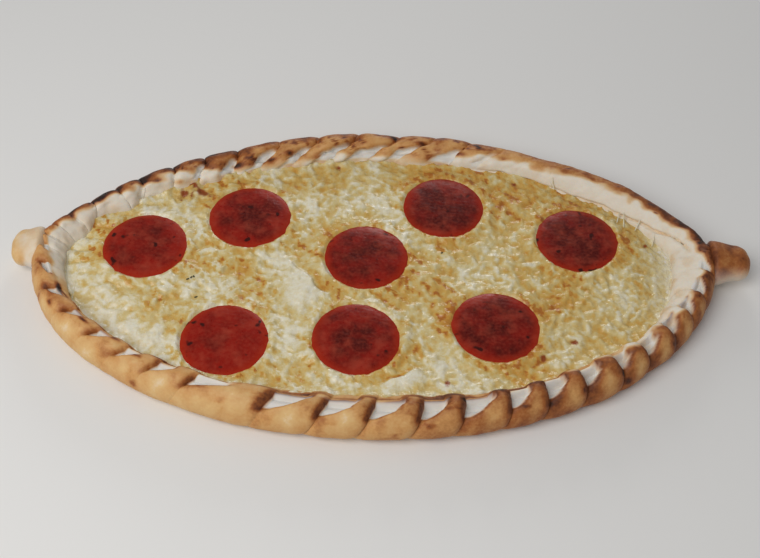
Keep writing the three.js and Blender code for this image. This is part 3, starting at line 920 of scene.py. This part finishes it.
def strands(paths, width, height):
    """Flattened strands along paths of points: an ellipse across each path, thinning out at both ends."""
    forwards = np.gradient(paths, axis=1)
    forwards /= np.linalg.norm(forwards, axis=-1, keepdims=True)
    sideways = np.cross([0.0, 0.0, 1.0], forwards)
    sideways /= np.linalg.norm(sideways, axis=-1, keepdims=True)
    upwards = np.cross(forwards, sideways)
    run = np.linspace(-1, 1, paths.shape[1])[None, :, None, None]
    thick = (1 - run ** 4) ** 0.5
    turn = np.linspace(0, 2 * np.pi, STRAND_SIDES, endpoint=False)[None, None, :, None]
    wide = width / 2 * thick * np.cos(turn) * sideways[:, :, None]
    tall = height / 2 * thick * np.sin(turn) * upwards[:, :, None]
    return paths[:, :, None] + wide + tall


def slice_surface(middle, radius, thickness, droop, tone, chance):
    """A sausage slice: rings from the middle of its underside round a blunt edge to the middle of its top.

    Its outline is a circle with a small wave of two and of three, and its edge droops with the fourth power
    of the radius.
    """
    top = np.concatenate([np.linspace(0.92, 0.7, 8, endpoint=False), np.linspace(0.7, 0.0, 20)])
    edge_share, edge_height = np.array(SLICE_EDGE).T
    share = np.concatenate([edge_share, top])[:, None]
    height = np.concatenate([edge_height, np.ones(len(top))])[:, None]
    turn = np.linspace(0, 2 * np.pi, SLICE_SIDES, endpoint=False)[None]
    phases = chance.uniform(0, 2 * np.pi, 4)
    ragged = 1 + 0.012 * np.sin(2 * turn + phases[0]) + 0.006 * np.sin(3 * turn + phases[1])
    x = middle[0] + radius * share * ragged * np.cos(turn)
    y = middle[1] + radius * share * ragged * np.sin(turn)
    z = middle[2] + thickness * height - droop * height * share ** 4
    z = z + 0.12 * height * np.sin(2 * turn + phases[2]) * share ** 2
    tilt = np.radians(chance.uniform(0.0, 1.2))
    z = z + np.tan(tilt) * radius * share * np.cos(turn - phases[3])
    rings = xyz(x, y, z)
    dimples = 0.07 * rough(rings, 4.0, 101) + 0.04 * grain(rings, 1.1, 103)
    rings[..., 2] += dimples * smooth(0.9, 1.0, height)
    return rings, {"edge": share, "tone": tone}


def add(tree, kind, inputs=(), stops=(), out=0, **settings):
    """Adds a shader node and gives back one of its outputs.

    It sets the node's settings, its colour stops, and its inputs as values or other nodes' outputs.
    """
    made = tree.nodes.new(kind)
    for name, value in settings.items():
        setattr(made, name, value)
    if stops:
        ramp = made.color_ramp.elements
        ramp.remove(ramp[1])
        ramp[0].position = stops[0][0]
        for position, value in stops:
            stop = ramp[0] if position == stops[0][0] else ramp.new(position)
            stop.color = value
    for key, value in dict(inputs).items():
        if isinstance(value, bpy.types.NodeSocket):
            tree.links.new(value, made.inputs[key])
        else:
            made.inputs[key].default_value = value
    return made.outputs[out]


def start_material(name, marks=(), patterns=()):
    """A material with its output, the marks of the mesh that it reads, and its noise patterns.

    A pattern is its real size in millimetres and its detail, on the piece's own coordinates.
    """
    material = bpy.data.materials.new(name)
    material.use_nodes = True
    tree = material.node_tree
    tree.nodes.clear()
    output = tree.nodes.new("ShaderNodeOutputMaterial").inputs["Surface"]
    read = [add(tree, "ShaderNodeAttribute", attribute_name=mark, out="Fac") for mark in marks]
    place = add(tree, "ShaderNodeTexCoord", out="Object") if patterns else None
    noise = [
        add(tree, "ShaderNodeTexNoise", {"Vector": place, "Scale": 1 / (size * MM), "Detail": detail})
        for size, detail in patterns
    ]
    return material, tree, output, *read, *noise


def crust_material(crust):
    """Oven-baked wheat dough: matt flour in the creases, a dry satin crust that browns where it swells up.

    The eye sees cream dough turn gold, tan and brown with the heat, fine blisters and a soft, slightly
    translucent edge.
    """
    material, tree, output, bake, flour, blotch, freckle, pores = start_material(
        "baked_wheat_crust", ("bake", "flour"), ((5.0, 4.0), (1.3, 3.0), (0.6, 2.0))
    )
    uneven = add(tree, "ShaderNodeMapRange", {"Value": blotch, "To Min": -0.14, "To Max": 0.14})
    spotted = add(tree, "ShaderNodeMapRange", {"Value": freckle, "To Min": -0.1, "To Max": 0.1})
    strength = add(tree, "ShaderNodeMapRange", {"Value": bake, "From Max": 0.4, "To Min": 0.25})
    unevenness = add(tree, "ShaderNodeMath", {0: uneven, 1: spotted}, operation="ADD")
    heat = add(tree, "ShaderNodeMath", {0: unevenness, 1: strength, 2: bake}, operation="MULTIPLY_ADD")
    browned = add(tree, "ShaderNodeValToRGB", {"Fac": heat}, stops=[
        (0.0, crust.dough), (0.24, crust.gold), (0.46, crust.tan), (0.68, crust.brown), (0.85, crust.dark),
        (1.0, crust.char),
    ])
    floured = add(
        tree, "ShaderNodeMix", {"Factor": flour, 6: browned, 7: crust.flour}, data_type="RGBA", out=2
    )
    satin = add(tree, "ShaderNodeMapRange", {"Value": freckle, "To Min": 0.46, "To Max": 0.7})
    relief = add(tree, "ShaderNodeBump", {"Strength": 0.35, "Distance": 0.25 * MM, "Height": freckle})
    relief = add(tree, "ShaderNodeBump", {
        "Strength": 0.25, "Distance": 0.12 * MM, "Height": pores, "Normal": relief,
    })
    shader = add(tree, "ShaderNodeBsdfPrincipled", {
        "Base Color": floured, "Roughness": satin, "IOR": 1.45, "Normal": relief, "Subsurface Weight": 0.12,
        "Subsurface Radius": (1.0, 0.6, 0.35), "Subsurface Scale": 2.0 * MM, "Specular IOR Level": 0.4,
    })
    tree.links.new(shader, output)
    return material


def cheese_material(cheese):
    """Grated cow's milk cheese, melted and browned: milky where thick, with a greasy gloss on each lump."""
    material, tree, output, brown, scorch, curds, grains = start_material(
        "melted_cheese", ("brown", "scorch"), ((2.6, 4.0), (0.9, 2.0))
    )
    mottle = add(tree, "ShaderNodeMapRange", {"Value": curds, "To Min": -0.22, "To Max": 0.22})
    speckle = add(tree, "ShaderNodeMath", {0: grains, 1: 0.24, 2: mottle}, operation="MULTIPLY_ADD")
    heat = add(tree, "ShaderNodeMath", {0: speckle, 1: 0.12}, operation="SUBTRACT")
    heat = add(tree, "ShaderNodeMath", {0: heat, 1: brown}, operation="ADD")
    melted = add(tree, "ShaderNodeValToRGB", {"Fac": heat}, stops=[
        (0.0, cheese.cream), (0.28, cheese.body), (0.52, cheese.yellow), (0.74, cheese.gold),
        (1.0, cheese.orange),
    ])
    burnt = add(
        tree, "ShaderNodeMix", {"Factor": scorch, 6: melted, 7: cheese.scorch}, data_type="RGBA", out=2
    )
    gloss = add(tree, "ShaderNodeMapRange", {"Value": curds, "To Min": 0.1, "To Max": 0.36})
    relief = add(tree, "ShaderNodeBump", {"Strength": 0.8, "Distance": 0.8 * MM, "Height": curds})
    relief = add(tree, "ShaderNodeBump", {
        "Strength": 0.4, "Distance": 0.2 * MM, "Height": grains, "Normal": relief,
    })
    shader = add(tree, "ShaderNodeBsdfPrincipled", {
        "Base Color": burnt, "Roughness": gloss, "IOR": 1.45, "Normal": relief, "Subsurface Weight": 0.1,
        "Subsurface Radius": (1.0, 0.75, 0.4), "Subsurface Scale": 1.5 * MM, "Coat Weight": 0.08,
        "Coat Roughness": 0.15,
    })
    tree.links.new(shader, output)
    return material


def herb_material(cheese):
    """Dried oregano: dull brown-green flakes, a little paler along their veins."""
    material, tree, output, veins = start_material("dried_oregano", (), ((0.5, 2.0),))
    leaf = add(
        tree, "ShaderNodeMix", {"Factor": veins, 6: cheese.herb, 7: cheese.vein}, data_type="RGBA", out=2
    )
    shader = add(tree, "ShaderNodeBsdfPrincipled", {"Base Color": leaf, "Roughness": 0.7})
    tree.links.new(shader, output)
    return material


def sausage_material(sausage):
    """Cured beef sausage, sliced and baked: fine red mince, flecks of fat, burnt spice and an oily skin."""
    patterns = ((9.0, 3.0), (1.6, 4.0), (0.8, 2.0), (7.0, 2.0), (5.5, 1.5))
    material, tree, output, edge, tone, lean, mince, flecks, marble, specks = start_material(
        "cured_beef_sausage", ("edge", "tone"), patterns
    )
    middle = add(tree, "ShaderNodeMapRange", {
        "Value": edge, "From Min": 0.2, "From Max": 0.8, "To Min": 0.45, "To Max": 0.0,
    })
    dark = add(tree, "ShaderNodeMapRange", {
        "Value": lean, "From Min": 0.35, "From Max": 0.65, "To Max": 0.75,
    })
    dark = add(tree, "ShaderNodeMath", {0: dark, 1: middle}, operation="ADD")
    # Painted light and shade: a slice's value takes dark patches away to light it, and adds them below 0 to
    # shade it.
    dark = add(tree, "ShaderNodeMath", {0: dark, 1: tone}, operation="SUBTRACT", use_clamp=True)
    base = add(
        tree, "ShaderNodeMix", {"Factor": dark, 6: sausage.meat, 7: sausage.dark}, data_type="RGBA", out=2
    )
    layers = (  # what lies over the meat: its pattern, from where to where, how strongly, in which colour
        (marble, 0.5, 0.75, 0.4, sausage.fat),
        (mince, 0.45, 0.8, 0.3, sausage.fat),
        (edge, 0.78, 0.97, 0.75, sausage.edge),
        (specks, 0.66, 0.73, 1.0, sausage.speck),
    )
    for pattern, low, high, most, tint in layers:
        cover = add(tree, "ShaderNodeMapRange", {
            "Value": pattern, "From Min": low, "From Max": high, "To Max": most,
        })
        base = add(tree, "ShaderNodeMix", {"Factor": cover, 6: base, 7: tint}, data_type="RGBA", out=2)
    gloss = add(tree, "ShaderNodeMapRange", {"Value": mince, "To Min": 0.22, "To Max": 0.38})
    relief = add(tree, "ShaderNodeBump", {"Strength": 0.4, "Distance": 0.2 * MM, "Height": mince})
    relief = add(tree, "ShaderNodeBump", {
        "Strength": 0.35, "Distance": 0.12 * MM, "Height": flecks, "Normal": relief,
    })
    shader = add(tree, "ShaderNodeBsdfPrincipled", {
        "Base Color": base, "Roughness": gloss, "Specular IOR Level": 0.2, "Normal": relief,
        "Subsurface Weight": 0.06, "Subsurface Radius": (1.0, 0.3, 0.2), "Subsurface Scale": 1.0 * MM,
    })
    tree.links.new(shader, output)
    return material


class PIDE_OT_crust(bpy.types.Operator):
    """Bake the bread boat with its crimped rim, and its two knobs"""

    bl_idname = "pide.crust"
    bl_label = "Crust"

    def execute(self, context):
        crust = context.scene.pide_crust
        material = crust_material(crust)
        skin("boat", *crust_surface(crust), material, ["crust"], "baked_crust")
        for name, knob in KNOBS.items():
            skin(name, *knob_surface(**knob), material, ["crust"], "baked_crust")
        return {"FINISHED"}


class PIDE_OT_cheese(bpy.types.Operator):
    """Melt the cheese into the boat, with threads up to the rim and flecks of herb on it"""

    bl_idname = "pide.cheese"
    bl_label = "Cheese"

    def execute(self, context):
        cheese = context.scene.pide_cheese
        material = cheese_material(cheese)
        chance = np.random.default_rng(cheese.seed)
        shreds, tints = lay_shreds(chance, cheese.shreds, cheese.shred_width / MM, cheese.shred_height / MM)
        boundary = cheese_boundary(context.scene.pide_crust)
        skin("cheese_bed", *cheese_surface(shreds, tints, boundary), material, ["cheese"], "melted_cheese")

        ends = np.array(THREADS)
        run = np.linspace(0, 1, 11)[None, :, None]
        paths = mix(ends[:, None, 0], ends[:, None, 1], run)
        paths[..., 2] -= THREAD_SAG * np.sin(np.pi * run[..., 0])
        rings = strands(paths, THREAD_WIDTH, THREAD_WIDTH)
        marks = {"brown": THREAD_BROWN, "scorch": 0.0}
        skin("cheese_threads", rings, marks, material, (), "melted_cheese")

        x, y, turn = np.array(HERBS).T[..., None]
        run = HERB_SIZE["half"] * np.linspace(-1, 1, 7)[None]
        x, y = x + run * np.cos(turn), y + run * np.sin(turn)
        paths = xyz(x, y, cheese_top(x, y, shreds)[0] + HERB_SIZE["raised"])
        rings = strands(paths, HERB_SIZE["width"], HERB_SIZE["height"])
        skin("herb_flecks", rings, {}, herb_material(cheese))
        return {"FINISHED"}


class PIDE_OT_sausage(bpy.types.Operator):
    """Lay the sausage slices on the cheese"""

    bl_idname = "pide.sausage"
    bl_label = "Sausage slices"

    def execute(self, context):
        sausage = context.scene.pide_sausage
        material = sausage_material(sausage)
        chance = np.random.default_rng(sausage.seed)
        thickness, droop = sausage.thickness / MM, sausage.droop / MM
        for name in SLICES:
            low, high = node_box(name)
            middle = np.array([*(low + high)[:2] / 2, low[2] - SLICE_SINK])
            radius = (high - low)[0] / 2
            tone = SLICE_PAINTED_LIGHT.get(name, 0.0)
            rings, marks = slice_surface(middle, radius, thickness, droop, tone, chance)
            skin("sausage_" + name, rings, marks, material, [name], "sausage")
        return {"FINISHED"}


class PIDE_OT_stage(bpy.types.Operator):
    """Set the floor, the light and the camera"""

    bl_idname = "pide.stage"
    bl_label = "Stage"

    def execute(self, context):
        scene = context.scene
        stage = scene.pide_stage
        material, tree, output = start_material("matt_paper")
        shader = add(tree, "ShaderNodeBsdfPrincipled", {"Base Color": stage.floor, "Roughness": 0.85})
        tree.links.new(shader, output)
        mesh = bpy.data.meshes.new("floor")
        corners = ((-1, -1), (1, -1), (1, 1), (-1, 1))
        mesh.from_pydata([(x * FLOOR_REACH, y * FLOOR_REACH, 0) for x, y in corners], [], [(0, 1, 2, 3)])
        mesh.materials.append(material)
        floor = bpy.data.objects.new("floor", mesh)
        scene.collection.objects.link(floor)

        for name, (place, size) in LAMPS.items():
            lamp = bpy.data.lights.new(name + "_lamp", "AREA")
            lamp.shape = "DISK"
            lamp.size = size
            lamp.energy = getattr(stage, name)
            holder = bpy.data.objects.new(name + "_lamp", lamp)
            holder.location = place
            holder.rotation_euler = (-Vector(place)).to_track_quat("-Z", "Y").to_euler()
            scene.collection.objects.link(holder)

        sky = bpy.data.worlds.new("soft_sky")
        sky.use_nodes = True
        sky.node_tree.nodes["Background"].inputs["Color"].default_value = stage.tint
        sky.node_tree.nodes["Background"].inputs["Strength"].default_value = stage.sky
        scene.world = sky
        scene.view_settings.view_transform = "Standard"

        forwards = Vector((
            math.sin(stage.turn) * math.cos(stage.elevation),
            math.cos(stage.turn) * math.cos(stage.elevation),
            -math.sin(stage.elevation),
        ))
        right = forwards.cross(Vector((0, 0, 1))).normalized()
        up = right.cross(forwards)
        tipped_right = math.cos(stage.roll) * right + math.sin(stage.roll) * up
        tipped_up = math.cos(stage.roll) * up - math.sin(stage.roll) * right
        lens = bpy.data.cameras.new("camera")
        lens.sensor_fit = "HORIZONTAL"
        lens.angle = stage.view_width
        lens.clip_start = 0.01
        camera = bpy.data.objects.new("camera", lens)
        turned = Matrix((tipped_right, tipped_up, -forwards)).transposed().to_4x4()
        camera.matrix_world = Matrix.Translation(AIM - forwards * stage.distance) @ turned
        scene.collection.objects.link(camera)
        scene.camera = camera
        return {"FINISHED"}


class PIDE_PT_panel(bpy.types.Panel):
    """Lists what makes up the pide"""

    bl_label = "Turkish pide"
    bl_idname = "PIDE_PT_panel"
    bl_space_type = "VIEW_3D"
    bl_region_type = "UI"
    bl_category = "Pide"

    def draw(self, context):
        for operator, settings in STEPS:
            box = self.layout.box()
            box.operator(operator.bl_idname)
            group = getattr(context.scene, settings)
            for name in group.bl_rna.properties.keys():
                if name not in ("rna_type", "name"):
                    box.prop(group, name)


STEPS = (
    (PIDE_OT_crust, "pide_crust"),
    (PIDE_OT_cheese, "pide_cheese"),
    (PIDE_OT_sausage, "pide_sausage"),
    (PIDE_OT_stage, "pide_stage"),
)
SETTINGS = {
    "pide_crust": CrustSettings,
    "pide_cheese": CheeseSettings,
    "pide_sausage": SausageSettings,
    "pide_stage": StageSettings,
}
CLASSES = (*SETTINGS.values(), *(operator for operator, _ in STEPS), PIDE_PT_panel)


def register():
    for item in CLASSES:
        bpy.utils.register_class(item)
    for name, group in SETTINGS.items():
        setattr(bpy.types.Scene, name, PointerProperty(type=group))


def unregister():
    for name in SETTINGS:
        delattr(bpy.types.Scene, name)
    for item in reversed(CLASSES):
        bpy.utils.unregister_class(item)


def main():
    """Registers the classes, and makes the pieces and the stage."""
    register()
    bpy.ops.pide.crust()
    bpy.ops.pide.cheese()
    bpy.ops.pide.sausage()
    bpy.ops.pide.stage()


if __name__ == "__main__":
    main()
